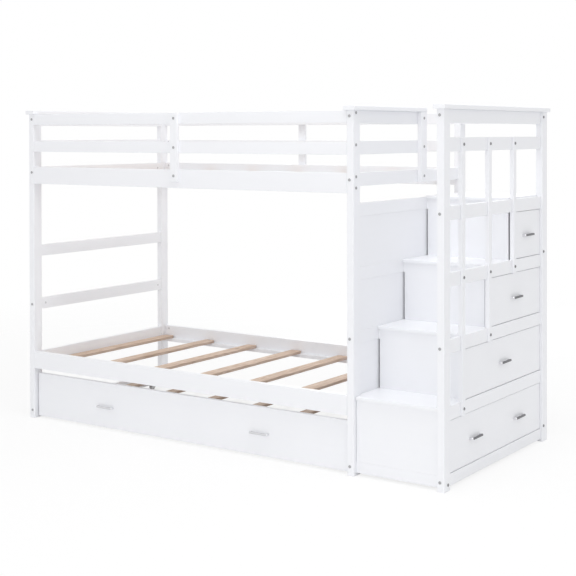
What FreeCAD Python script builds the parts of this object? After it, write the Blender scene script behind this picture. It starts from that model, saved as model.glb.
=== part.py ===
# Twin over twin bunk bed with a storage staircase at its right end and a trundle bed under it.
# X runs along the bed towards the stairs, Y from the front to the wall side, Z up from the floor.
# While it is built, X is 0 at the left end's outer face and Y is 0 at the posts' front face.

import FreeCAD
import Part
import math
import os
from FreeCAD import Vector

# Overall sizes, in millimetres
bed_length = 1976.0
stair_length = 434.0
bed_depth = 1060.0
post_height = 1570.0

# Posts and caps
post_x = 34.0
post_y = 56.0
post_easing = 3.0
cap_thickness = 20.0
cap_overhang = 12.0
cap_easing = 4.0

# End rails, which run from a front post to a back post
end_rail_height = 58.0
end_rail_thickness = 20.0
end_rail_recess = 10.0
bottom_rail_z = 12.0
bottom_rail_height = 49.0
end_guard_drop = 191.0
stair_guard_drop = 175.0

# Rails along the bed, flush with the outside of the posts
long_rail_thickness = 26.0
guard_rail_height = 54.0
long_guard_drop = 192.0
side_rail_height = 87.0
upper_bunk_drop = 270.0
lower_side_top = 345.0

# Upright strips on the guards, and the gate post beside the way in from the stairs
strip_width = 42.0
strip_thickness = 16.0
strip_lift = 30.0
gate_post_width = 56.0
gate_post_thickness = 20.0
gate_width = 363.0

# Slats and the ledgers that carry them
slat_width = 66.0
slat_thickness = 15.0
slat_corner = 9.0
slat_count = 7
slat_left_margin = 40.0
slat_right_margin = 68.0
slat_side_gap = 3.0
upper_slat_drop = 46.0
lower_slat_drop = 53.0
ledger_width = 25.0

# Staircase
first_tread_top = 341.0
top_step_drop = 131.0
top_tread_lift = 7.0
step_count = 4
step_run = 223.5
base_setback = 20.0
second_riser_y = 227.0
tread_thickness = 15.0
tread_nosing = 9.0
tread_side_gap = 1.5
riser_thickness = 12.0
riser_slit = 6.0
cross_rail_thickness = 20.0
infill_thickness = 12.0
infill_recess = 2.0
back_rail_inset = 30.0
low_back_rail_z = 44.0
middle_back_rail_drop = 17.0

# Balusters on the stair end, which are also the front stiles of the upper drawers
baluster_x = 21.0
baluster_y = 26.0
baluster_first_y = 167.0
baluster_pitch = 257.0

# Drawers
drawer_gap = 3.0
drawer_foot_gap = 2.0
drawer_side_gap = 1.0
drawer_front_thickness = 14.0
drawer_front_recess = 4.0
drawer_board = 12.0
drawer_bottom = 5.0
drawer_bottom_lift = 8.0
drawer_groove = 5.0
groove_clearance = 0.2
drawer_side_inset = 8.0
drawer_lift = 4.0
drawer_top_drop = 20.0
drawer_back_gap = 12.0
runner_width = 20.0
runner_height = 26.0
runner_inset = 4.0
slide_clearance = 0.3
wide_drawer_pull_spacing = 446.0

# Bow pulls: a flat strap bent over at both ends
pull_length = 104.0
pull_height = 10.0
pull_drop = 4.0
pull_reach = 18.0
pull_strap = 6.0
pull_leg = 8.0

# Trundle
trundle_end_clearance = 6.5
trundle_setback = 22.0
trundle_board = 20.0
trundle_floor_gap = 10.0
trundle_front_height = 222.0
trundle_side_floor_gap = 22.0
trundle_side_height = 62.0
trundle_back_gap = 78.0
trundle_slat_top = 70.0
trundle_ledger_height = 23.0
trundle_slat_width = 56.0
trundle_slat_left_margin = 52.0
trundle_slat_right_margin = 32.0
trundle_pull_spacing = 948.0
trundle_pull_drop = 9.0

# Casters of the trundle
wheel_radius = 20.0
wheel_width = 18.0
wheel_side_gap = 0.5
axle_diameter = 6.0
axle_facet_count = 12
axle_clearance = 0.2
axle_stub = 1.5
bracket_sheet = 2.5
bracket_half_width = 14.0
bracket_top_gap = 4.0
bracket_tab = 34.0
bracket_below_axle = 8.0
caster_inset = 90.0

# Frame bolts: flat heads outside, shanks with a few flats because there are many of them
bolt_head_width = 13.0
bolt_head_thickness = 2.5
bolt_head_facet_count = 8
bolt_shank_width = 6.0
bolt_shank_facet_count = 6
bolt_hole_clearance = 0.2
cut_overshoot = 1.0
bolt_bite = 38.0
bolt_short_bite = 15.0
bolt_sink = 8.0
front_bolt_inset = 21.0
end_bolt_drop = 25.0
guard_bolt_drop = 11.0
side_bolt_drop = 16.0
side_bolt_spacing = 48.0
back_rail_bolt_drop = 24.0
base_bolt_rise = 14.0
bottom_bolt_rise = 28.0

# Faces that the pieces share
right_x = bed_length
stair_x = bed_length + stair_length
back_post_y = bed_depth - post_y
top_rail_z = post_height - end_rail_height
end_guard_z = post_height - end_guard_drop
stair_guard_z = post_height - stair_guard_drop
long_top_z = post_height - guard_rail_height
long_guard_z = post_height - long_guard_drop
upper_side_top = post_height - upper_bunk_drop
upper_end_z = upper_side_top - end_rail_height
step_rise = (upper_side_top - top_step_drop - first_tread_top) / (step_count - 1)
step_tops = [first_tread_top + step_rise * step for step in range(step_count)]
step_rail_z = [top - end_rail_height for top in step_tops]
tread_tops = step_tops[:-1] + [step_tops[-1] + top_tread_lift]
riser_y = [base_setback] + [second_riser_y + step_run * step for step in range(step_count - 1)]
baluster_ys = [baluster_first_y + baluster_pitch * bar for bar in range(step_count - 1)]
stair_left_x = right_x - end_rail_recess
stair_right_x = stair_x - end_rail_recess - end_rail_thickness
gate_post_y = back_post_y - gate_width - gate_post_width
strip_x = bed_length / 2 - strip_width / 2
bed_left_x = post_x
bed_right_x = right_x - post_x
back_rail_y = bed_depth - back_rail_inset - long_rail_thickness
long_rail_middle = long_rail_thickness / 2

nodes = {}
holes = {}


def box(x0, x1, y0, y1, z0, z1):
    return Part.makeBox(x1 - x0, y1 - y0, z1 - z0, Vector(x0, y0, z0))


def add(node, solid):
    nodes.setdefault(node, []).append(solid)


def eased(solid, radius, axis):
    edges = [edge for edge in solid.Edges if abs(edge.tangentAt(edge.FirstParameter).dot(axis)) > 0.99]
    return solid.makeFillet(radius, edges)


def prism(start, direction, across, facet_count, length):
    side = Vector(0, 0, 1)
    other = direction.cross(side)
    radius = across / 2 / math.cos(math.pi / facet_count)
    corners = []
    for corner in range(facet_count + 1):
        angle = 2 * math.pi * (corner % facet_count + 0.5) / facet_count
        corners.append(start + side * (radius * math.cos(angle)) + other * (radius * math.sin(angle)))
    return Part.Face(Part.makePolygon(corners)).extrude(direction * length)


# A bolt's head seats on a face, or sunk below it, and its shank runs into the named pieces, the post first
def bolt(face, direction, length, pieces, sink=0.0):
    seat = face + direction * sink
    head = prism(seat - direction * bolt_head_thickness, direction, bolt_head_width, bolt_head_facet_count,
                 bolt_head_thickness)
    shank = prism(seat, direction, bolt_shank_width, bolt_shank_facet_count, length - sink)
    add("frame_bolts", head.fuse(shank).removeSplitter())
    bore = bolt_shank_width + 2 * bolt_hole_clearance
    hole = prism(face - direction * cut_overshoot, direction, bore, bolt_shank_facet_count,
                 cut_overshoot + length + bolt_hole_clearance)
    for piece in pieces:
        holes.setdefault(piece, []).append(hole)
    if sink:
        well = prism(face - direction * cut_overshoot, direction, bolt_head_width + 2 * bolt_hole_clearance,
                     bolt_head_facet_count, cut_overshoot + sink)
        holes[pieces[0]].append(well)


toward_back = Vector(0, 1, 0)
toward_front = Vector(0, -1, 0)
toward_right = Vector(1, 0, 0)
toward_left = Vector(-1, 0, 0)
up = Vector(0, 0, 1)


# Posts stand on the floor, with eased upright edges
def post(node, x0, y0):
    add(node, eased(box(x0, x0 + post_x, y0, y0 + post_y, 0, post_height), post_easing, up))


post("post_left_front", 0, 0)
post("post_left_back", 0, back_post_y)
post("post_right_front", bed_right_x, 0)
post("post_right_back", bed_right_x, back_post_y)
post("post_stair_front", stair_x - post_x, 0)
post("post_stair_back", stair_x - post_x, back_post_y)
gate_post_x = right_x - end_rail_recess
gate_post_end = gate_post_y + gate_post_width
add("gate_post", box(gate_post_x, gate_post_x + gate_post_thickness, gate_post_y, gate_post_end,
                     upper_end_z, post_height))


# Caps lie flat across the tops of the end frames
def cap(node, x0, y1):
    board = box(x0 - cap_overhang, x0 + post_x + cap_overhang, -cap_overhang, y1,
                post_height, post_height + cap_thickness)
    add(node, eased(board, cap_easing, toward_back))


cap("cap_left", 0, bed_depth + cap_overhang)
cap("cap_right", bed_right_x, gate_post_end)
cap("cap_stair", stair_x - post_x, bed_depth + cap_overhang)


# End rails butt against the posts' inner faces, set in from the outer face, and the lowest one is slimmer
def end_rail(node, x0, z0, y1=back_post_y):
    height = bottom_rail_height if z0 == bottom_rail_z else end_rail_height
    add(node, box(x0, x0 + end_rail_thickness, post_y, y1, z0, z0 + height))


left_rail_x = end_rail_recess
right_rail_x = right_x - end_rail_recess - end_rail_thickness
stair_rail_x = stair_x - end_rail_recess - end_rail_thickness
lower_levels = [bottom_rail_z] + step_rail_z
lower_tops = [bottom_rail_z + bottom_rail_height] + step_tops

for level in lower_levels[:-1] + [upper_end_z]:
    end_rail("left_end_rails", left_rail_x, level)
for level in (end_guard_z, top_rail_z):
    end_rail("left_end_rails", left_rail_x, level)
    end_rail("right_guard_rails", right_rail_x, level, gate_post_end)
for level in lower_levels + [upper_end_z]:
    end_rail("right_end_rails", right_rail_x, level)
for level in lower_levels:
    end_rail("stair_end_rails", stair_rail_x, level)
for level in (stair_guard_z, top_rail_z):
    end_rail("stair_end_rails", stair_rail_x, level)

# Infill panels close the right end frame between its rails, beside the stairs
infill_x = right_x - end_rail_recess - infill_recess - infill_thickness
for below, above in zip(lower_tops[:-1], lower_levels[1:]):
    add("infill_panels", box(infill_x, infill_x + infill_thickness, post_y, back_post_y, below, above))


# Rails along the bed run from post to post, flush with the posts' outer face
def long_rail(node, front_y, z0, height):
    add(node, box(bed_left_x, bed_right_x, front_y, front_y + long_rail_thickness, z0, z0 + height))


rear_y = bed_depth - long_rail_thickness
for side, front_y in (("front", 0), ("back", rear_y)):
    long_rail(side + "_guard_rails", front_y, long_top_z, guard_rail_height)
    long_rail(side + "_guard_rails", front_y, long_guard_z, guard_rail_height)
    long_rail("upper_side_rail_" + side, front_y, upper_side_top - side_rail_height, side_rail_height)
    long_rail("lower_side_rail_" + side, front_y, lower_side_top - side_rail_height, side_rail_height)

# Guard strips tie each guard to its side rail from outside
strip_z = upper_side_top - side_rail_height + strip_lift
strip_top = long_top_z + guard_rail_height
for strip_y in (-strip_thickness, bed_depth):
    add("guard_strips", box(strip_x, strip_x + strip_width, strip_y, strip_y + strip_thickness,
                            strip_z, strip_top))


# Slats lie across a bed with clipped corners, evenly from the first one's middle to the last one's
def slats(node, first_x, last_x, width, y0, y1, top):
    pitch = (last_x - first_x) / (slat_count - 1)
    for slat in range(slat_count):
        middle = first_x + pitch * slat
        board = box(middle - width / 2, middle + width / 2, y0, y1, top - slat_thickness, top)
        corners = [edge for edge in board.Edges if abs(edge.tangentAt(edge.FirstParameter).z) > 0.99]
        add(node, board.makeChamfer(slat_corner, corners))


for bunk, side_top, slat_drop in (("upper", upper_side_top, upper_slat_drop),
                                  ("lower", lower_side_top, lower_slat_drop)):
    slat_top = side_top - slat_drop
    ledger_z = side_top - side_rail_height
    for ledger_y in (long_rail_thickness, rear_y - ledger_width):
        add("slat_ledgers", box(bed_left_x, bed_right_x, ledger_y, ledger_y + ledger_width,
                                ledger_z, slat_top - slat_thickness))
    slats(bunk + "_slats", bed_left_x + slat_left_margin, bed_right_x - slat_right_margin, slat_width,
          long_rail_thickness + slat_side_gap, rear_y - slat_side_gap, slat_top)

# Base of the stairs: a rail between the posts with the first riser standing on it
base_rail_top = bottom_rail_z + bottom_rail_height
stair_post_x = stair_x - post_x
add("stair_base_rail", box(right_x, stair_post_x, base_setback, base_setback + long_rail_thickness,
                           bottom_rail_z, base_rail_top))
add("risers", box(right_x + tread_side_gap, stair_post_x - tread_side_gap, base_setback,
                  base_setback + riser_thickness, base_rail_top, first_tread_top - tread_thickness))

# Treads rest on cross rails, and each riser stands on the tread below it with a slit at both sides
tread_back_y = riser_y[1:] + [bed_depth - long_rail_thickness - riser_thickness]
stair_posts = [box(x0 - tread_side_gap, x0 + post_x + tread_side_gap, y0 - tread_side_gap,
                   y0 + post_y + tread_side_gap, 0, post_height)
               for x0 in (bed_right_x, stair_post_x) for y0 in (0, back_post_y)]
for step in range(step_count):
    top = tread_tops[step]
    under = top - tread_thickness
    tread = box(stair_left_x, stair_right_x, riser_y[step] - tread_nosing,
                tread_back_y[step] + riser_thickness, under, top)
    add("tread_%d" % (step + 1), tread.cut(stair_posts))
    cross_z = step_rail_z[step]
    if step == 0:
        front_x0 = right_x
        front_x1 = stair_post_x
        front_y = base_setback + riser_thickness
    else:
        front_x0 = stair_left_x
        front_x1 = stair_right_x
        front_y = riser_y[step]
        riser_end = stair_x - baluster_x if step == step_count - 1 else stair_right_x
        add("risers", box(stair_left_x + riser_slit, riser_end - riser_slit, front_y,
                          front_y + riser_thickness, tread_tops[step - 1], cross_z))
    add("cross_rails", box(front_x0, front_x1, front_y, front_y + cross_rail_thickness, cross_z, under))
    rear_cross_y = min(tread_back_y[step], back_post_y - cross_rail_thickness)
    add("cross_rails", box(stair_left_x, stair_right_x, rear_cross_y, rear_cross_y + cross_rail_thickness,
                           cross_z, under))

# Back rails tie the stair end to the bed on the wall side
back_rail_zs = [low_back_rail_z, tread_tops[-2] - middle_back_rail_drop, long_top_z]
for level in back_rail_zs:
    add("stair_back_rails", box(right_x, stair_post_x, back_rail_y, back_rail_y + long_rail_thickness,
                                level, level + guard_rail_height))

# Balusters are halved over the rails that they cross
for bar, bar_y in enumerate(baluster_ys):
    upright = box(stair_x - baluster_x, stair_x, bar_y, bar_y + baluster_y, step_rail_z[bar],
                  stair_guard_z + end_rail_height)
    add("balusters", upright.cut(nodes["stair_end_rails"]))


# A bow pull stands on a face: two legs and a strap across them, given as spans along the face and out from it
def pull(node, face, outward, along):
    def block(start, end, near, far):
        low = face + along * start + outward * near
        high = face + along * end + outward * far
        return box(min(low.x, high.x), max(low.x, high.x), min(low.y, high.y), max(low.y, high.y),
                   face.z - pull_height / 2, face.z + pull_height / 2)

    half = pull_length / 2
    strap = block(-half, half, pull_reach - pull_strap, pull_reach)
    legs = [block(-half, pull_leg - half, 0, pull_reach), block(half - pull_leg, half, 0, pull_reach)]
    add(node, strap.fuse(legs).removeSplitter())


# Drawers slide out of the stair end on wooden runners between the rails
front_face_x = stair_x - end_rail_recess - drawer_front_recess
front_back_x = front_face_x - drawer_front_thickness
drawer_back_x = right_x + drawer_back_gap
drawer_y1 = back_post_y - drawer_side_gap
for number in range(1, step_count + 1):
    name = "drawer_%d_" % number
    front_z0 = lower_tops[number - 1] + drawer_foot_gap
    front_z1 = lower_levels[number] - drawer_gap
    if number == 1:
        front_y0 = post_y + drawer_side_gap
        box_y0 = front_y0 + drawer_side_inset
    else:
        front_y0 = baluster_ys[number - 2] + baluster_y + drawer_side_gap
        box_y0 = max(front_y0, riser_y[number - 1] + cross_rail_thickness) + drawer_side_inset
    box_y1 = drawer_y1 - drawer_side_inset
    box_z0 = front_z0 + drawer_lift
    box_z1 = front_z1 - drawer_top_drop
    add(name + "front", box(front_back_x, front_face_x, front_y0, drawer_y1, front_z0, front_z1))
    bottom_z = box_z0 + drawer_bottom_lift
    bottom_top = bottom_z + drawer_bottom
    groove_y0 = box_y0 + drawer_board - drawer_groove
    groove_y1 = box_y1 - drawer_board + drawer_groove
    groove_x0 = drawer_back_x + drawer_board - drawer_groove
    groove = box(groove_x0, front_back_x, groove_y0, groove_y1, bottom_z, bottom_top + groove_clearance)
    for side_y in (box_y0, box_y1 - drawer_board):
        side = box(drawer_back_x, front_back_x, side_y, side_y + drawer_board, box_z0, box_z1)
        add(name + "box", side.cut(groove))
    add(name + "box", box(drawer_back_x, drawer_back_x + drawer_board, box_y0 + drawer_board,
                          box_y1 - drawer_board, box_z0, box_z1).cut(groove))
    add(name + "box", box(groove_x0 + groove_clearance, front_back_x, groove_y0 + groove_clearance,
                          groove_y1 - groove_clearance, bottom_z, bottom_top))
    runner_top = box_z0 - slide_clearance
    for runner_y in (box_y0 + runner_inset, box_y1 - runner_inset - runner_width):
        add("drawer_runners", box(stair_left_x, stair_right_x, runner_y, runner_y + runner_width,
                                  runner_top - runner_height, runner_top))
    middle_y = (front_y0 + drawer_y1) / 2
    offsets = (-wide_drawer_pull_spacing / 2, wide_drawer_pull_spacing / 2) if number == 1 else (0,)
    for offset in offsets:
        pull(name + "pull", Vector(front_face_x, middle_y + offset, (front_z0 + front_z1) / 2 - pull_drop),
             toward_right, toward_back)

# Trundle: a tall front panel, lower ends and back, and slats on ledgers
trundle_end_gap = bolt_head_thickness + trundle_end_clearance
trundle_x0 = bed_left_x + trundle_end_gap
trundle_x1 = bed_right_x - trundle_end_gap
trundle_y0 = trundle_setback + trundle_board
trundle_y1 = bed_depth - trundle_back_gap - trundle_board
inner_x0 = trundle_x0 + trundle_board
inner_x1 = trundle_x1 - trundle_board
trundle_top = trundle_floor_gap + trundle_front_height
side_top = trundle_side_floor_gap + trundle_side_height
add("trundle_front", box(trundle_x0, trundle_x1, trundle_setback, trundle_y0, trundle_floor_gap, trundle_top))
add("trundle_sides", box(trundle_x0, trundle_x1, trundle_y1, trundle_y1 + trundle_board,
                         trundle_side_floor_gap, side_top))
for end_x in (trundle_x0, inner_x1):
    add("trundle_sides", box(end_x, end_x + trundle_board, trundle_y0, trundle_y1, trundle_side_floor_gap,
                             side_top))
trundle_ledger_top = trundle_slat_top - slat_thickness
for ledger_y in (trundle_y0, (trundle_y0 + trundle_y1 - ledger_width) / 2, trundle_y1 - ledger_width):
    add("trundle_ledgers", box(inner_x0, inner_x1, ledger_y, ledger_y + ledger_width,
                               trundle_ledger_top - trundle_ledger_height, trundle_ledger_top))
slats("trundle_slats", inner_x0 + trundle_slat_left_margin, inner_x1 - trundle_slat_right_margin,
      trundle_slat_width, trundle_y0 + slat_side_gap, trundle_y1 - slat_side_gap, trundle_slat_top)
trundle_pull_z = trundle_floor_gap + trundle_front_height / 2 - trundle_pull_drop
for side in (-1, 1):
    trundle_pull_x = bed_length / 2 + side * trundle_pull_spacing / 2
    pull("trundle_pulls", Vector(trundle_pull_x, trundle_setback, trundle_pull_z), toward_front, toward_right)


# A fixed caster hangs on the inner face of a trundle end, its wheel turning on a pin across the bracket
def caster(name, face_x, inward, middle_y):
    def span(start, length):
        ends = sorted((face_x + inward * start, face_x + inward * (start + length)))
        return ends[0], ends[1]

    y0 = middle_y - bracket_half_width
    y1 = middle_y + bracket_half_width
    bridge_z = 2 * wheel_radius + bracket_top_gap
    bridge_top = bridge_z + bracket_sheet
    foot_z = wheel_radius - bracket_below_axle
    gap = wheel_width + 2 * wheel_side_gap
    outer = box(*span(0, bracket_sheet), y0, y1, foot_z, bridge_top + bracket_tab)
    inner = box(*span(bracket_sheet + gap, bracket_sheet), y0, y1, foot_z, bridge_top)
    bridge = box(*span(0, gap + 2 * bracket_sheet), y0, y1, bridge_z, bridge_top)
    pin_length = gap + 2 * bracket_sheet + axle_stub
    pin_start = Vector(face_x, middle_y, wheel_radius)
    along = Vector(inward, 0, 0)
    pin_hole = prism(pin_start, along, axle_diameter + 2 * axle_clearance, axle_facet_count,
                     pin_length + cut_overshoot)
    add("caster_brackets", outer.fuse([inner, bridge]).removeSplitter().cut(pin_hole))
    add("caster_axles", prism(pin_start, along, axle_diameter, axle_facet_count, pin_length))
    wheel_x = span(bracket_sheet + wheel_side_gap, wheel_width)[0]
    wheel_start = Vector(wheel_x, middle_y, wheel_radius)
    bore_across = axle_diameter / math.cos(math.pi / axle_facet_count) + 2 * axle_clearance
    tyre = Part.makeCylinder(wheel_radius, wheel_width, wheel_start, toward_right)
    bore = prism(wheel_start, toward_right, bore_across, axle_facet_count, wheel_width)
    add("caster_wheel_" + name, tyre.cut(bore))


for end, face_x, inward in (("left", inner_x0, 1), ("right", inner_x1, -1)):
    caster("front_" + end, face_x, inward, trundle_y0 + caster_inset)
    caster("back_" + end, face_x, inward, trundle_y1 - caster_inset)

# Bolts through the posts into the ends of the end rails
end_bolt_length = post_y + bolt_bite
top_bolt_z = post_height - end_bolt_drop
bottom_bolt_z = bottom_rail_z + bottom_bolt_rise
upper_end_bolt_z = upper_end_z + end_rail_height / 2
step_bolt_z = [level + end_rail_height / 2 for level in step_rail_z]
end_bolts = (
    ("left", left_rail_x, ("left_end_rails",), upper_end_bolt_z),
    ("right", right_rail_x, ("right_guard_rails", "right_end_rails"), upper_end_bolt_z),
    ("stair", stair_rail_x, ("stair_end_rails",), step_bolt_z[-1]),
)
for end, rail_x, rail_nodes, high_z in end_bolts:
    for side, face_y, inward in (("front", 0, toward_back), ("back", bed_depth, toward_front)):
        for level in (top_bolt_z, high_z, step_bolt_z[1], bottom_bolt_z):
            if end == "right" and side == "back" and level == top_bolt_z:
                continue
            seat = Vector(rail_x + end_rail_thickness / 2, face_y, level)
            bolt(seat, inward, end_bolt_length, ("post_%s_%s" % (end, side),) + rail_nodes)

# Bolts through the posts into the ends of the rails along the bed
long_bolt_length = post_x + bolt_bite
upper_bolt_z = upper_side_top - side_bolt_drop
lower_bolt_z = lower_side_top - side_bolt_drop
long_bolt_zs = (
    ("guard_rails", long_top_z + guard_rail_height - guard_bolt_drop),
    ("guard_rails", long_guard_z + guard_rail_height - guard_bolt_drop),
    ("upper", upper_bolt_z),
    ("upper", upper_bolt_z - side_bolt_spacing),
    ("lower", lower_bolt_z),
    ("lower", lower_bolt_z - side_bolt_spacing),
)
for side, bolt_y in (("front", front_bolt_inset), ("back", bed_depth - long_rail_middle)):
    for rail, level in long_bolt_zs:
        rail_node = side + "_guard_rails" if rail == "guard_rails" else "%s_side_rail_%s" % (rail, side)
        stair_sink = bolt_sink if rail == "lower" else 0.0
        bolt(Vector(0, bolt_y, level), toward_right, long_bolt_length, ("post_left_" + side, rail_node))
        bolt(Vector(right_x, bolt_y, level), toward_left, long_bolt_length, ("post_right_" + side, rail_node),
             stair_sink)

# Bolts into both ends of the stair's back rails and of its base rail
back_bolt_y = back_rail_y + long_rail_middle
for level in back_rail_zs:
    seat_z = level + guard_rail_height - back_rail_bolt_drop
    bolt(Vector(bed_right_x, back_bolt_y, seat_z), toward_right, long_bolt_length,
         ("post_right_back", "stair_back_rails"))
    bolt(Vector(stair_x, back_bolt_y, seat_z), toward_left, long_bolt_length,
         ("post_stair_back", "stair_back_rails"))
base_bolt_y = base_setback + long_rail_middle
base_bolt_z = bottom_rail_z + base_bolt_rise
bolt(Vector(bed_right_x, base_bolt_y, base_bolt_z), toward_right, long_bolt_length,
     ("post_right_front", "stair_base_rail"))
bolt(Vector(stair_x, base_bolt_y, base_bolt_z), toward_left, long_bolt_length,
     ("post_stair_front", "stair_base_rail"))

# Bolts through the gate post, the guard strips and the balusters into the rails behind them
end_middles = [top_rail_z + end_rail_height / 2, end_guard_z + end_rail_height / 2, upper_end_bolt_z]
for level in end_middles:
    bolt(Vector(gate_post_x + gate_post_thickness, gate_post_y + gate_post_width / 2, level), toward_left,
         gate_post_thickness + bolt_short_bite, ("gate_post", "right_guard_rails", "right_end_rails"))
long_middles = [long_top_z + guard_rail_height / 2, long_guard_z + guard_rail_height / 2, upper_end_bolt_z]
for level in long_middles:
    strip_length = strip_thickness + bolt_short_bite
    bolt(Vector(bed_length / 2, -strip_thickness, level), toward_back, strip_length,
         ("guard_strips", "front_guard_rails", "upper_side_rail_front"))
    bolt(Vector(bed_length / 2, bed_depth + strip_thickness, level), toward_front, strip_length,
         ("guard_strips", "back_guard_rails", "upper_side_rail_back"))
baluster_bolt_z = (step_bolt_z[0], step_bolt_z[1], None)
for bar, bar_y in enumerate(baluster_ys):
    levels = [stair_guard_z + end_rail_height / 2, step_bolt_z[2]]
    if baluster_bolt_z[bar] is not None:
        levels.append(baluster_bolt_z[bar])
    for level in levels:
        bolt(Vector(stair_x, bar_y + baluster_y / 2, level), toward_left, end_rail_recess + bolt_short_bite,
             ("balusters", "stair_end_rails"))

# Cut the bolt holes, centre the part over the origin and write one file for each node
for node, tools in holes.items():
    drilled = []
    for solid in nodes[node]:
        near = [tool for tool in tools if tool.BoundBox.intersect(solid.BoundBox)]
        drilled.append(solid.cut(near) if near else solid)
    nodes[node] = drilled

whole = FreeCAD.BoundBox()
for solids in nodes.values():
    for solid in solids:
        whole.add(solid.BoundBox)
to_origin = Vector(-whole.Center.x, -whole.Center.y, -whole.ZMin)
os.makedirs("parts", exist_ok=True)
for node, solids in nodes.items():
    shape = Part.Compound([solid.translated(to_origin) for shape in solids for solid in shape.Solids])
    shape.exportStep("parts/%s.step" % node)
print("size %.1f x %.1f x %.1f mm, %d nodes" % (whole.XLength, whole.YLength, whole.ZLength, len(nodes)))
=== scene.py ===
# Twin over twin bunk bed with a storage staircase at its right end and a trundle bed under it.
# Metres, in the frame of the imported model: X along the bed to the stairs, Y to the wall, Z up.

import math

import bmesh
import bpy
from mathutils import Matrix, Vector


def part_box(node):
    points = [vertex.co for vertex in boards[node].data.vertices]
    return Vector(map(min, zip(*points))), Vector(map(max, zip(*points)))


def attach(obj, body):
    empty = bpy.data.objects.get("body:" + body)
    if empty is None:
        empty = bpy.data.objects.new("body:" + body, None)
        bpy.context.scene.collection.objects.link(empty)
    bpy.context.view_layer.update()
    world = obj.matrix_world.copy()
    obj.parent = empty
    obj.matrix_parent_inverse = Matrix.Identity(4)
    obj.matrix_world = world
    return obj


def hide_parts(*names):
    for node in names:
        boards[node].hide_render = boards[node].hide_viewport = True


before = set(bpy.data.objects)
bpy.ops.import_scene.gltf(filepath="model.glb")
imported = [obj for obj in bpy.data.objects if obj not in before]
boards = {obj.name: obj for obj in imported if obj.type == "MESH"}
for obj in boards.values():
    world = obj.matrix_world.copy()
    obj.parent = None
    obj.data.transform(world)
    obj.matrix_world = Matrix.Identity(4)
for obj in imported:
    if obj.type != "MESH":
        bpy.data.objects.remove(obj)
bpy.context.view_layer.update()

# Posts: six planed pine uprights, which carry everything else and are bored for the bolts.
# Their arrises are sanded off, and they are sprayed with satin white paint,
# thin enough for the grain to show as faint ridges.
post_arris = 0.0008
paint_dark = (0.885, 0.893, 0.925)
paint_light = (0.920, 0.927, 0.953)
paint_ior = 1.48
paint_ridge = 0.0007
along_grain = 4.0
across_grain = 70.0


class Shade:
    """A value on a surface. Sums on it add Math nodes to the finish it belongs to."""

    def __init__(self, tree, socket=None):
        self.tree = tree
        self.socket = socket

    def node(self, kind, settings, sockets, output=0):
        made = self.tree.nodes.new(kind)
        for name, value in settings.items():
            if name == "stops":
                ramp = made.color_ramp
                while len(ramp.elements) < len(value):
                    ramp.elements.new(1.0)
                for element, (place, colour) in zip(ramp.elements, value):
                    element.position = place
                    element.color = colour + (1.0,)
            else:
                setattr(made, name, value)
        for name, value in sockets.items():
            if isinstance(value, Shade):
                self.tree.links.new(value.socket, made.inputs[name])
            else:
                made.inputs[name].default_value = value
        return Shade(self.tree, made.outputs[output]) if len(made.outputs) else None

    def sum(self, operation, first, second):
        return self.node("ShaderNodeMath", {"operation": operation}, {0: first, 1: second})

    def __add__(self, other):
        return self.sum("ADD", self, other)

    def __radd__(self, other):
        return self.sum("ADD", other, self)

    def __sub__(self, other):
        return self.sum("SUBTRACT", self, other)

    def __rsub__(self, other):
        return self.sum("SUBTRACT", other, self)

    def __mul__(self, other):
        return self.sum("MULTIPLY", self, other)

    def __rmul__(self, other):
        return self.sum("MULTIPLY", other, self)

    def between(self, dark, light):
        return self.node("ShaderNodeMix", {"data_type": "RGBA"},
                         {0: self, 6: dark + (1.0,), 7: light + (1.0,)}, 2)


def new_finish(name):
    material = bpy.data.materials.new(name)
    material.use_nodes = True
    material.node_tree.nodes.clear()
    return material, Shade(material.node_tree)


def place_on_piece(here):
    return here.node("ShaderNodeTexCoord", {}, {}, "Object")


def scaled(here, vector, factors):
    return here.node("ShaderNodeVectorMath", {"operation": "MULTIPLY"}, {0: vector, 1: factors}, "Vector")


# Noise that is drawn out along the grain: few waves a metre along it, many across it
def grain_noise(here, place, waves, detail, distortion):
    return here.node("ShaderNodeTexNoise", {}, {"Vector": scaled(here, place, waves), "Scale": 1.0,
                                                "Detail": detail, "Roughness": 0.6,
                                                "Distortion": distortion}, "Fac")


# Noise with the same number of waves a metre in every direction
def even_noise(here, place, waves, detail):
    return here.node("ShaderNodeTexNoise", {}, {"Vector": place, "Scale": waves, "Detail": detail}, "Fac")


def relief(here, height, strength, depth):
    return here.node("ShaderNodeBump", {}, {"Strength": strength, "Distance": depth, "Height": height},
                     "Normal")


def coated(here, sockets):
    coat = here.node("ShaderNodeBsdfPrincipled", {}, sockets, "BSDF")
    here.node("ShaderNodeOutputMaterial", {}, {"Surface": coat})


def white_paint(name, waves):
    material, here = new_finish(name)
    place = place_on_piece(here)
    grain = grain_noise(here, place, waves, detail=4.0, distortion=0.4)
    cloud = even_noise(here, place, waves=2.3, detail=2.0)
    spray = even_noise(here, place, waves=650.0, detail=2.0)
    coated(here, {"Base Color": (grain * 0.45 + cloud * 0.55).between(paint_dark, paint_light),
                  "Roughness": 0.3 + grain * 0.14 + spray * 0.06,
                  "Normal": relief(here, grain * 0.8 + spray * 0.2, strength=0.16, depth=paint_ridge),
                  "IOR": paint_ior})
    return material


paint_upright = white_paint("white_paint_upright", (across_grain, across_grain, along_grain))
paint_across = white_paint("white_paint_across", (across_grain, along_grain, across_grain))
paint_along = white_paint("white_paint_along", (along_grain, across_grain, across_grain))
one_corner = 0.00002
flat_turn = math.radians(0.5)
arris_turn = math.radians(40)


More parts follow.
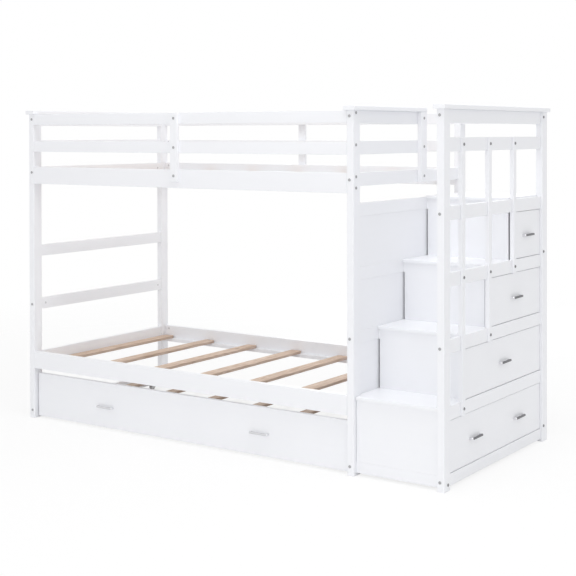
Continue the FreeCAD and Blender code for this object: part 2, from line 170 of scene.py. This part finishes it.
# A board keeps its shape, and a fine round takes off its sharp arrises
def eased(names, edge, finish, rounds=2):
    for name in names:
        board = boards[name]
        board.material_slots[0].material = finish
        joined = board.modifiers.new("joined_corners", "WELD")
        joined.merge_threshold = one_corner
        faces = board.modifiers.new("whole_faces", "DECIMATE")
        faces.decimate_type = "DISSOLVE"
        faces.angle_limit = flat_turn
        arris = board.modifiers.new("eased_arris", "BEVEL")
        arris.width = edge
        arris.segments = rounds
        arris.limit_method = "ANGLE"
        arris.angle_limit = arris_turn
        arris.use_clamp_overlap = False
        board.modifiers.new("even_shade", "WEIGHTED_NORMAL")


eased(["post_left_front", "post_left_back", "post_right_front", "post_right_back", "post_stair_front",
       "post_stair_back"], post_arris, paint_upright)

# Caps: flat boards laid over the end frames' top rails and post tops, glued and pinned down.
# Painted pine with a rounded edge, a little wider than the posts.
cap_arris = 0.0012
eased(["cap_left", "cap_right", "cap_stair"], cap_arris, paint_across)

# End rails: painted pine boards from a front post to a back post, bolted through the posts.
# Those of the right end carry thin infill panels, which close the bed off from the stairs.
end_rail_arris = 0.0015
panel_arris = 0.0006
eased(["left_end_rails", "right_end_rails", "right_guard_rails", "stair_end_rails"], end_rail_arris,
      paint_across)
eased(["infill_panels"], panel_arris, paint_across)

# Rails along the bed: the guards above and the deep side rails that hold the slat ledgers.
# Painted pine, held by bolts through the posts, with rounded arrises on all long edges.
long_rail_arris = 0.0018
eased(["front_guard_rails", "back_guard_rails", "upper_side_rail_front", "upper_side_rail_back",
       "lower_side_rail_front", "lower_side_rail_back"], long_rail_arris, paint_along)

# Guard strips in the middle of both guards, and the gate post beside the way in from the stairs.
# Each is a short painted upright, bolted flat against the rails that it ties together.
strip_arris = 0.0014
eased(["guard_strips", "gate_post"], strip_arris, paint_upright)

# Ledgers: square strips of painted pine that carry the ends of the slats in both bunks and the trundle.
# They are glued and screwed to the inside of the side rails and of the trundle's front and back.
ledger_arris = 0.001
eased(["slat_ledgers", "trundle_ledgers"], ledger_arris, paint_along)

# Slats: bare pine boards with rounded corners that lie across each bed on the ledgers.
# They keep the colour of the planed wood, with its growth lines and a knot here and there; the trundle's
# slats get a darker copy of it, painted shade for their place under the lower bunk
slat_arris = 0.0028
slat_rounds = 3
pine_dark = (0.46, 0.325, 0.235)
pine_middle = (0.60, 0.455, 0.355)
pine_light = (0.70, 0.56, 0.46)
# Painted shade for the faces of a slat that do not point up
side_painted_shade = (0.86, 0.86, 0.88)
knot_brown = (0.26, 0.15, 0.09, 1.0)
pine_ridge = 0.0006
ring_count = 60.0
fibres_to_ring = 6
bunk_shade = 1.08
# The trundle's slats are darker by this share: painted shade
trundle_painted_shade = 0.75


def smooth_step(here, value, start, end):
    return here.node("ShaderNodeMapRange", {"interpolation_type": "SMOOTHSTEP"},
                     {"Value": value, "From Min": start, "From Max": end}, "Result")


# The faces that do not point up are painted darker, as painted shade on the slats' sides; the top keeps the
# wood's colour
def bare_pine(name, waves, knots, shade):
    material, here = new_finish(name)
    place = place_on_piece(here)
    flow = grain_noise(here, place, waves, detail=2.0, distortion=0.8)
    rings = here.node("ShaderNodeMath", {"operation": "SINE"}, {0: flow * ring_count}) * 0.5 + 0.5
    fibre_waves = tuple(value * fibres_to_ring for value in waves)
    fibre = grain_noise(here, place, fibre_waves, detail=4.0, distortion=0.2)
    spot = here.node("ShaderNodeTexVoronoi", {}, {"Vector": scaled(here, place, knots), "Scale": 1.0},
                     "Distance")
    knot = smooth_step(here, spot, start=0.10, end=0.03)
    dark, middle, light = (tuple(value * shade for value in colour)
                           for colour in (pine_dark, pine_middle, pine_light))
    planed = here.node("ShaderNodeValToRGB", {"stops": [(0.2, dark), (0.5, middle), (0.8, light)]},
                       {0: rings * 0.4 + fibre * 0.35 + flow * 0.25}, "Color")
    # Faces that turn away from up get the painted shade
    facing = here.node("ShaderNodeNewGeometry", {}, {}, "Normal")
    upward = here.node("ShaderNodeSeparateXYZ", {}, {"Vector": facing}, "Z")
    level = smooth_step(here, upward, start=0.25, end=0.8)
    shaded_sides = scaled(here, planed, side_painted_shade)
    wood = here.node("ShaderNodeMix", {"data_type": "RGBA"}, {0: level, 6: shaded_sides, 7: planed}, 2)
    colour = here.node("ShaderNodeMix", {"data_type": "RGBA"}, {0: knot * 0.75, 6: wood, 7: knot_brown}, 2)
    coated(here, {"Base Color": colour,
                  "Roughness": 0.62 - rings * 0.08 + fibre * 0.1,
                  "Normal": relief(here, rings * 0.5 + fibre * 0.5, strength=0.25, depth=pine_ridge)})
    return material


bunk_pine = bare_pine("bunk_pine", (26.0, 1.4, 26.0), (7.0, 2.6, 7.0), bunk_shade)
# A darker copy of the same pine for the trundle's slats, as painted shade
trundle_pine_painted_shade = bare_pine("trundle_pine_painted_shade", (22.0, 1.2, 22.0), (6.0, 2.2, 6.0), trundle_painted_shade)
eased(["upper_slats", "lower_slats"], slat_arris, bunk_pine, slat_rounds)
eased(["trundle_slats"], slat_arris, trundle_pine_painted_shade, slat_rounds)

# Slat screws: one countersunk zinc wood screw through each end of a slat into its ledger.
# The heads are turned, with a round dished drive, and sit flush in the wood.
screw_in = 0.0115
screw_sides = 12
screw_profile = ((-0.004, 0.0), (-0.004, 0.0016), (-0.0002, 0.0036), (0.0001, 0.0036), (0.0001, 0.0022),
                 (-0.0012, 0.0014), (-0.0016, 0.0))
fine_marks = (900.0, 900.0, 900.0)
up = Vector((0, 0, 1))


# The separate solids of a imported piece, each as its own list of corners
def solids(name):
    shape = bmesh.new()
    shape.from_mesh(boards[name].data)
    bmesh.ops.remove_doubles(shape, verts=shape.verts, dist=one_corner)
    waiting = set(shape.verts)
    found = []
    while waiting:
        group = [waiting.pop()]
        for corner in group:
            for edge in corner.link_edges:
                other = edge.other_vert(corner)
                if other in waiting:
                    waiting.remove(other)
                    group.append(other)
        found.append([corner.co.copy() for corner in group])
    shape.free()
    found.sort(key=lambda corners: tuple(round(value, 4) for value in min(corners, key=tuple)))
    return found


def span(corners):
    low = Vector([min(corner[axis] for corner in corners) for axis in range(3)])
    high = Vector([max(corner[axis] for corner in corners) for axis in range(3)])
    return low, high


# A turned form. Each ring of its profile is a distance along the axis and a radius,
# and a third number gives the ring that many flats.
def turned(shape, start, direction, profile, sides):
    across = direction.orthogonal().normalized()
    beside = direction.cross(across)
    last = None
    for along, radius, *flats in profile:
        centre = start + direction * along
        ring = []
        for side in range(sides if radius else 1):
            angle = 2 * math.pi * side / sides
            reach = radius
            if flats:
                turn = 2 * math.pi / flats[0]
                reach = radius / math.cos(angle % turn - turn / 2)
            spoke = across * math.cos(angle) + beside * math.sin(angle)
            ring.append(shape.verts.new(centre + spoke * reach))
        if last:
            for side in range(sides):
                after = side + 1
                corners = [last[side % len(last)], last[after % len(last)], ring[after % len(ring)],
                           ring[side % len(ring)]]
                shape.faces.new(list(dict.fromkeys(corners)))
        last = ring


def piece(name, shape, finish, body, replaced=(), crease=35.0):
    bmesh.ops.recalc_face_normals(shape, faces=shape.faces)
    mesh = bpy.data.meshes.new(name)
    shape.to_mesh(mesh)
    shape.free()
    mesh.polygons.foreach_set("use_smooth", [True] * len(mesh.polygons))
    mesh.set_sharp_from_angle(angle=math.radians(crease))
    mesh.materials.append(finish)
    made = bpy.data.objects.new(name, mesh)
    bpy.context.scene.collection.objects.link(made)
    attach(made, body)
    if replaced:
        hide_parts(*replaced)
    return made


# Plated steel: a bright or dark metal whose gloss is broken by fine plating marks
def plated(name, dark, light, rough, marks):
    material, here = new_finish(name)
    place = place_on_piece(here)
    mark = grain_noise(here, place, marks, detail=3.0, distortion=0.2)
    cloud = even_noise(here, place, waves=60.0, detail=2.0)
    coated(here, {"Base Color": (mark * 0.6 + cloud * 0.4).between(dark, light),
                  "Roughness": rough + mark * 0.12,
                  "Metallic": 1.0,
                  "Normal": relief(here, mark, strength=0.1, depth=0.0002)})
    return material


bolt_steel = plated("bolt_steel", (0.38, 0.38, 0.39), (0.54, 0.54, 0.55), rough=0.34, marks=fine_marks)
for name, body in (("upper_slats", "frame"), ("lower_slats", "frame"), ("trundle_slats", "trundle")):
    screws = bmesh.new()
    for corners in solids(name):
        low, high = span(corners)
        for depth in (low.y + screw_in, high.y - screw_in):
            place = Vector(((low.x + high.x) / 2, depth, high.z))
            turned(screws, place, up, screw_profile, screw_sides)
    piece(name.replace("slats", "slat_screws"), screws, bolt_steel, body)

# Staircase: treads on cross rails, risers that stand on the treads, and a base rail between the posts.
# Painted boards, screwed from below, so no fixing shows on their faces.
tread_arris = 0.002
stair_rail_arris = 0.0015
eased(["tread_1", "tread_2", "tread_3", "tread_4"], tread_arris, paint_along)
eased(["stair_base_rail", "stair_back_rails"], stair_rail_arris, paint_along)


# Boards that meet corner to corner keep the sharp arrises of the saw
def painted(names, finish):
    for name in names:
        boards[name].material_slots[0].material = finish


painted(["risers", "cross_rails"], paint_along)

# Balusters: slim uprights of painted pine that guard the open side of the stairs, stepped with the treads.
# They are halved over the stair end's rails and bolted to them.
baluster_arris = 0.0012
eased(["balusters"], baluster_arris, paint_upright)

# Drawers: four painted fronts on plain painted boxes, whose bottoms lie in grooves.
# Each box slides on wooden runners that are fixed inside the staircase.
runner_arris = 0.0006
drawer_front_arris = 0.0015
drawers = range(1, 5)
eased(["drawer_runners"], runner_arris, paint_along)
for number in drawers:
    eased(["drawer_%d_front" % number], drawer_front_arris, paint_across)
    painted(["drawer_%d_box" % number], paint_along)

# Trundle: a low bed that rolls out to the front, with a tall painted front board.
# Its low sides and back are painted boards, screwed together at the corners.
trundle_front_arris = 0.0016
eased(["trundle_front"], trundle_front_arris, paint_along)
painted(["trundle_sides"], paint_along)

# Bow pulls: a strap of nickel plate bent over into a leg at each end, with a rounded face.
# The strap is brushed, and its one nickel plate is coloured with painted reflections: dark on the drawers'
# straps, light on the trundle's straps, bright on the legs. Screws from behind the front hold them.
# Copies of one nickel plate, coloured as painted reflections: dark, light and bright
drawer_nickel = plated("drawer_nickel", (0.13, 0.13, 0.14), (0.22, 0.22, 0.23), rough=0.28,
                       marks=(400.0, 30.0, 400.0))
trundle_nickel_painted_reflection = plated("trundle_nickel_painted_reflection", (0.64, 0.64, 0.66), (0.76, 0.76, 0.78), rough=0.30,
                        marks=(30.0, 400.0, 400.0))
leg_nickel_painted_reflection = plated("leg_nickel_painted_reflection", (0.74, 0.74, 0.76), (0.84, 0.84, 0.86), rough=0.22,
                       marks=(300.0, 300.0, 60.0))
strap_thickness = 0.006
leg_thickness = 0.008
bend = 0.005
inner_bend = bend * 0.4
bend_steps = 5
strap_face = ((-1.0, 0.62), (-0.86, 0.85), (-0.6, 0.96), (0.0, 1.0), (0.6, 0.96), (0.86, 0.85), (1.0, 0.62))
strap_back = ((1.0, 0.0), (-1.0, 0.0))
pull_crease = 50.0


# Points along the bow, outer and inner side by side, as (along, outward) from the middle of the face
def bow_line(length, reach):
    half = length / 2
    outer = [(-half, 0.0)]
    inner = [(leg_thickness - half, 0.0)]
    for step in range(bend_steps + 1):
        turn = math.pi / 2 * step / bend_steps
        outer.append((bend - half - bend * math.cos(turn), reach - bend + bend * math.sin(turn)))
        inner.append((leg_thickness - half + inner_bend * (1 - math.cos(turn)),
                      reach - strap_thickness - inner_bend * (1 - math.sin(turn))))
    outer += [(-along, out) for along, out in reversed(outer)]
    inner += [(-along, out) for along, out in reversed(inner)]
    return list(zip(outer, inner))


# The strap's section at each point: a rounded face from its lower to its upper edge, and a flat back
def bow_pulls(name, node, body, outward, along, finish):
    pulls = bmesh.new()
    for corners in solids(node):
        low, high = span(corners)
        reach = abs((high - low).dot(outward))
        face = (low + high) / 2 - outward * (reach / 2)
        half_height = (high.z - low.z) / 2
        rings = []
        for outer, inner in bow_line((high - low).dot(along), reach):
            ring = []
            for level, fullness in strap_face + strap_back:
                ahead, out = (inner[way] + (outer[way] - inner[way]) * fullness for way in (0, 1))
                place = face + along * ahead + outward * out + up * level * half_height
                ring.append(pulls.verts.new(place))
            rings.append(ring)
        for place, (near, far) in enumerate(zip(rings, rings[1:])):
            for corner in range(len(near)):
                after = (corner + 1) % len(near)
                side = pulls.faces.new((near[corner], near[after], far[after], far[corner]))
                # The straight middle of the strap takes the strap's painted reflection, the bends and legs
                # the bright one
                side.material_index = 0 if place == bend_steps + 1 else 1
        pulls.faces.new(rings[0])
        pulls.faces.new(rings[-1])
    made = piece(name, pulls, finish, body, [node], pull_crease)
    made.data.materials.append(leg_nickel_painted_reflection)


for number in drawers:
    bow_pulls("drawer_%d_bow_pull" % number, "drawer_%d_pull" % number, "drawer_%d" % number,
              Vector((1, 0, 0)), Vector((0, 1, 0)), drawer_nickel)
bow_pulls("trundle_bow_pulls", "trundle_pulls", "trundle", Vector((0, -1, 0)), Vector((1, 0, 0)),
          trundle_nickel_painted_reflection)

# Casters: a pressed zinc-plated steel fork screwed inside each trundle end, with a riveted pin.
# The wheel is moulded in grey plastic, with a rounded tread, a ring groove and a raised hub.
fork_arris = 0.0006
pin_arris = 0.0003
caster_zinc = plated("caster_zinc", (0.42, 0.42, 0.43), (0.60, 0.60, 0.60), rough=0.3,
                     marks=(60.0, 60.0, 300.0))
eased(["caster_brackets"], fork_arris, caster_zinc)
eased(["caster_axles"], pin_arris, caster_zinc)
wheel_dark = (0.56, 0.56, 0.57)
wheel_light = (0.66, 0.66, 0.67)
wheel_bore = 0.0035
wheel_flank = ((0.0, 0.34), (0.0012, 0.38), (0.0032, 0.42), (0.0036, 0.70), (0.0014, 0.76), (0.0008, 0.88),
               (0.0018, 0.955), (0.0040, 1.0))
tread_groove = ((0.0012, 1.0), (0.0006, 0.97))
wheel_sides = 40
wheel_seam = 0.000001


def moulded_grey(name):
    material, here = new_finish(name)
    place = place_on_piece(here)
    spark = even_noise(here, place, waves=1400.0, detail=2.0)
    scuff = even_noise(here, place, waves=90.0, detail=3.0)
    coated(here, {"Base Color": (spark * 0.4 + scuff * 0.6).between(wheel_dark, wheel_light),
                  "Roughness": 0.4 + scuff * 0.2,
                  "Normal": relief(here, spark, strength=0.2, depth=0.0002)})
    return material


wheel_grey = moulded_grey("wheel_grey")
for corner in ("front_left", "front_right", "back_left", "back_right"):
    node = "caster_wheel_" + corner
    low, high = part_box(node)
    radius = (high.z - low.z) / 2
    width = high.x - low.x
    start = Vector((low.x, (low.y + high.y) / 2, (low.z + high.z) / 2))
    near = [(0.0, wheel_bore)]
    near += [(along, radius * share) for along, share in wheel_flank]
    near += [(width / 2 - along, radius * share) for along, share in tread_groove]
    far = [(width - along, across) for along, across in reversed(near)]
    wheel = bmesh.new()
    turned(wheel, start, Vector((1, 0, 0)), near + far + [(0.0, wheel_bore)], wheel_sides)
    bmesh.ops.remove_doubles(wheel, verts=wheel.verts, dist=wheel_seam)
    piece("wheel_" + corner, wheel, wheel_grey, "wheel_" + corner, [node])

# Frame bolts: turned steel bolts with a flat socket head, those at the stair end in a darker copy of the
# zinc, as painted reflection.
# The long ones go through a post into a barrel nut, whose dished end lies in the rail's inner face.
# Those of the lower side rails at the stairs are sunk, and white plugs close their holes.
# A darker copy of the bolt zinc: painted reflection for the bolts at the stair end
stair_zinc_painted_reflection = plated("stair_zinc_painted_reflection", (0.23, 0.23, 0.24), (0.33, 0.33, 0.34), rough=0.34, marks=fine_marks)
tip_radius = 0.0022
tip_length = 0.001
shank_radius = 0.003
head_radius = 0.0065
head_rim = ((0.0007, head_radius), (0.0002, 0.0061), (0.0, 0.0055), (0.0, 0.0031))
socket_radius = 0.0022
socket_rim = 0.0002
socket_depth = 0.0018
socket_floor = 0.0020
socket_flats = 6
bolt_sides = 18
nut_bolt_length = 0.06
nut_radius = 0.005
nut_back = 0.009
nut_sides = 14
nut_profile = ((-0.002, 0.0), (-0.002, nut_radius), (0.0003, nut_radius), (0.0005, nut_radius * 0.9),
               (0.0005, nut_radius * 0.55), (-0.0006, nut_radius * 0.5), (-0.0006, 0.0))
plug_radius = 0.0066
plug_face = plug_radius * 0.92
plug_round = 0.0002
plug_longest = 0.02
plug_sides = 20


def bolt_profile(length, head):
    seat = length - head
    shank = ((0.0, 0.0), (0.0, tip_radius), (tip_length, shank_radius), (seat, shank_radius),
             (seat, head_radius))
    rim = tuple((length - below, radius) for below, radius in head_rim)
    socket = ((length - socket_rim, socket_radius, socket_flats),
              (length - socket_depth, socket_radius, socket_flats), (length - socket_floor, 0.0))
    return shank + rim + socket


def plug_profile(depth):
    return ((plug_round, 0.0), (plug_round, plug_radius), (depth - plug_round, plug_radius),
            (depth, plug_face), (depth, 0.0))


rails = []
for name in ("left_end_rails", "right_end_rails", "right_guard_rails", "stair_end_rails",
             "front_guard_rails", "back_guard_rails", "upper_side_rail_front", "upper_side_rail_back",
             "lower_side_rail_front", "lower_side_rail_back", "stair_base_rail", "stair_back_rails"):
    rails += [span(corners) for corners in solids(name)]


def rail_around(point):
    for low, high in rails:
        if all(low[way] <= point[way] <= high[way] for way in range(3)):
            return low, high


bolts = bmesh.new()
nuts = bmesh.new()
plugs = bmesh.new()
left_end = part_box("post_left_front")[1].x
bed_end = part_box("post_right_front")[1].x
for corners in solids("frame_bolts"):
    low, high = span(corners)
    size = high - low
    axis = max(range(3), key=lambda way: size[way])
    # The head is the shorter step, at one end of the bolt
    levels = sorted(set(round(corner[axis], 5) for corner in corners))
    first_step = levels[1] - levels[0]
    last_step = levels[-1] - levels[-2]
    outward = Vector((0, 0, 0))
    outward[axis] = 1.0 if last_step < first_step else -1.0
    middle = (low + high) / 2
    length = size[axis]
    tip = middle - outward * (length / 2)
    others = set(bolts.faces)
    turned(bolts, tip, outward, bolt_profile(length, min(first_step, last_step)), bolt_sides)
    # Heads that stand out at the stair end take the darker painted reflection
    if outward.x > 0 and tip.x > bed_end:
        for side in set(bolts.faces) - others:
            side.material_index = 1
    depth = bed_end - (tip + outward * length).x
    if outward.x > 0 and 0 < depth < plug_longest:
        turned(plugs, tip + outward * length, outward, plug_profile(depth), plug_sides)
    if axis == 2 or length < nut_bolt_length:
        continue
    # The nut's end shows on the side of the rail that faces into the bed
    rail_low, rail_high = rail_around(tip)
    side = 1 - axis
    inner_limit = left_end if side == 0 else 0.0
    inward = Vector((0, 0, 0))
    inward[side] = 1.0 if middle[side] < inner_limit else -1.0
    nut = tip + outward * nut_back
    nut[side] = rail_high[side] if inward[side] > 0 else rail_low[side]
    turned(nuts, nut, inward, nut_profile, nut_sides)
bolt_heads = piece("connector_bolts", bolts, bolt_steel, "frame", ["frame_bolts"])
bolt_heads.data.materials.append(stair_zinc_painted_reflection)
piece("barrel_nuts", nuts, bolt_steel, "frame")
piece("bolt_plugs", plugs, paint_upright, "frame")

# Studio: a round floor of matt white paper that runs out into a white surround.
# Four softboxes on stands light the bed from above, the front, the right and behind.
white = (1.0, 1.0, 1.0, 1.0)
paper_white = (0.94, 0.94, 0.94, 1.0)
floor_size = 9.0
floor_drop = 0.0005
floor_sides = 64
fade_start = 2.2
fade_end = 5.5
paper_glow = 0.8
sky_light = 0.76
floor_shape = bmesh.new()
turned(floor_shape, up * -floor_drop, up, ((0.0, 0.0), (0.0, floor_size)), floor_sides)
floor_mesh = bpy.data.meshes.new("studio_floor")
floor_shape.to_mesh(floor_mesh)
floor_shape.free()
floor = bpy.data.objects.new("studio_floor", floor_mesh)
bpy.context.scene.collection.objects.link(floor)


# One for a ray that sees the studio itself, from the camera or by way of metal,
# and none for a ray that only brings light
def sees_studio(here):
    straight, gleam, through = (here.node("ShaderNodeLightPath", {}, {}, "Is %s Ray" % kind)
                                for kind in ("Camera", "Glossy", "Transmission"))
    return here.sum("MAXIMUM", here.sum("MAXIMUM", straight, gleam), through)


floor_finish, here = new_finish("studio_floor")
away = here.node("ShaderNodeVectorMath", {"operation": "LENGTH"}, {0: place_on_piece(here)}, "Value")
matt = here.node("ShaderNodeBsdfDiffuse", {}, {"Color": paper_white}, "BSDF")
glow = here.node("ShaderNodeEmission", {}, {"Color": white, "Strength": 1.0}, "Emission")
paper = here.node("ShaderNodeMixShader", {}, {0: sees_studio(here) * paper_glow, 1: matt, 2: glow}, "Shader")
clear = here.node("ShaderNodeBsdfTransparent", {}, {}, "BSDF")
fade = smooth_step(here, away, fade_start, fade_end)
ground = here.node("ShaderNodeMixShader", {}, {0: fade, 1: paper, 2: clear}, "Shader")
here.node("ShaderNodeOutputMaterial", {}, {"Surface": ground})
floor_mesh.materials.append(floor_finish)

world = bpy.data.worlds.new("studio")
bpy.context.scene.world = world
world.use_nodes = True
world.node_tree.nodes.clear()
here = Shade(world.node_tree)
brightness = sky_light + sees_studio(here) * (1 - sky_light)
surround = here.node("ShaderNodeBackground", {}, {"Color": white, "Strength": brightness}, "Background")
here.node("ShaderNodeOutputWorld", {}, {"Surface": surround})


def soft_light(name, place, aim, width, height, power):
    lamp = bpy.data.lights.new(name, "AREA")
    lamp.shape = "RECTANGLE"
    lamp.size = width
    lamp.size_y = height
    lamp.energy = power
    box = bpy.data.objects.new(name, lamp)
    box.location = place
    box.rotation_euler = (Vector(aim) - Vector(place)).to_track_quat("-Z", "Y").to_euler()
    bpy.context.scene.collection.objects.link(box)


soft_light("overhead_softbox", (1.1, -1.0, 4.4), (1.0, -0.1, 0.5), width=1.8, height=1.8, power=51.0)
soft_light("front_softbox", (1.6, -5.8, 2.2), (0.1, 0.0, 0.8), width=3.6, height=2.6, power=36.5)
soft_light("right_softbox", (4.6, -1.6, 3.6), (1.0, 0.0, 0.7), width=3.0, height=3.0, power=8.5)
soft_light("back_softbox", (-1.0, 4.5, 1.4), (0.0, 0.0, 0.5), width=4.0, height=2.0, power=38.0)

# Camera: a long lens at the photograph's standpoint, level with the upper bunk, in front of the stairs.
# The lens is shifted down, so that the posts stay upright while the bed is in the middle of the frame.
camera_data = bpy.data.cameras.new("photo_camera")
camera_data.sensor_width = 36.0
camera_data.lens = 76.244
camera_data.shift_x = -0.02347
camera_data.shift_y = -0.24833
camera_data.clip_end = 100.0
camera = bpy.data.objects.new("photo_camera", camera_data)
camera.location = (3.51841, -4.96212, 1.47136)
camera.rotation_euler = (math.radians(89.4470), math.radians(0.0964), math.radians(34.2269))
bpy.context.scene.collection.objects.link(camera)
bpy.context.scene.camera = camera
bpy.context.scene.view_settings.view_transform = "Standard"
